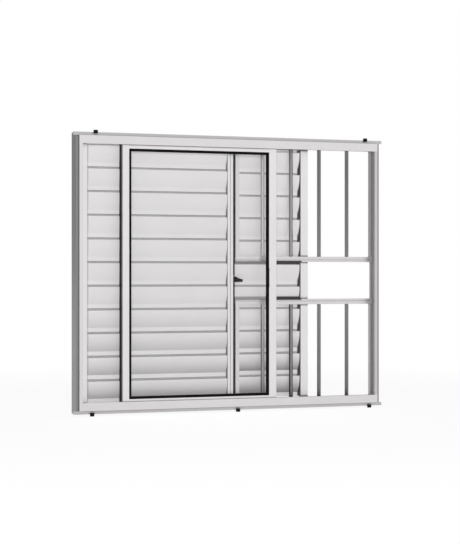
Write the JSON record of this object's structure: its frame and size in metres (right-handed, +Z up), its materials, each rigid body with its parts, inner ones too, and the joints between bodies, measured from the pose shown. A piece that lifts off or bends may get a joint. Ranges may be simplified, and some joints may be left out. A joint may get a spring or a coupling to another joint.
{
  "type": "shuttered sliding window",
  "caption": "Aluminium sliding window with a glass leaf, louvre shutter leaves and a fixed security grille in a multi-track frame.",
  "frame": {"origin": "on the underside of the sill, halfway along it and in the middle of its flat web", "axes": "+X to the right as seen from the room, +Y from the room to the outside, +Z up"},
  "size_m": [1.2, 0.072, 1.015],
  "materials": {
    "frame_aluminium": "satin natural anodised extrusion",
    "leaf_aluminium": "satin natural anodised extrusion",
    "blade_aluminium": "satin natural anodised extrusion",
    "grille_aluminium": "satin natural anodised extrusion",
    "clear_glass": "clear float glass",
    "black_rubber": "matt black glazing rubber",
    "black_plastic": "fine moulded texture"
  },
  "bodies": {
    "root": {"head": "frame_aluminium", "sill": "frame_aluminium", "left_jamb": "frame_aluminium", "right_jamb": "frame_aluminium", "pad_top_left": "black_plastic", "pad_top_right": "black_plastic", "pad_bottom_left": "black_plastic", "pad_bottom_middle": "black_plastic", "pad_bottom_right": "black_plastic", "fixed_leaf_left_stile": "leaf_aluminium", "fixed_leaf_right_stile": "leaf_aluminium", "fixed_leaf_top_rail": "leaf_aluminium", "fixed_leaf_bottom_rail": "leaf_aluminium", "fixed_leaf_blades": "blade_aluminium", "sliding_leaf_left_stile": "leaf_aluminium", "sliding_leaf_right_stile": "leaf_aluminium", "sliding_leaf_top_rail": "leaf_aluminium", "sliding_leaf_bottom_rail": "leaf_aluminium", "sliding_leaf_blades": "blade_aluminium", "fixed_leaf_seal": "black_rubber", "glass_leaf_seal": "black_rubber", "louvre_latch": "black_plastic", "glass_leaf_left_stile": "leaf_aluminium", "glass_leaf_right_stile": "leaf_aluminium", "glass_leaf_top_rail": "leaf_aluminium", "glass_leaf_bottom_rail": "leaf_aluminium", "glass_pane": "clear_glass", "glass_gasket": "black_rubber", "glass_leaf_latch": "black_plastic", "grille_upper_cross_rail": "grille_aluminium", "grille_upper_end_rail": "grille_aluminium", "grille_upper_left_upright": "grille_aluminium", "grille_upper_right_upright": "grille_aluminium", "grille_upper_bars": "grille_aluminium", "grille_lower_cross_rail": "grille_aluminium", "grille_lower_end_rail": "grille_aluminium", "grille_lower_left_upright": "grille_aluminium", "grille_lower_right_upright": "grille_aluminium", "grille_lower_bars": "grille_aluminium"}
  },
  "joints": []
}
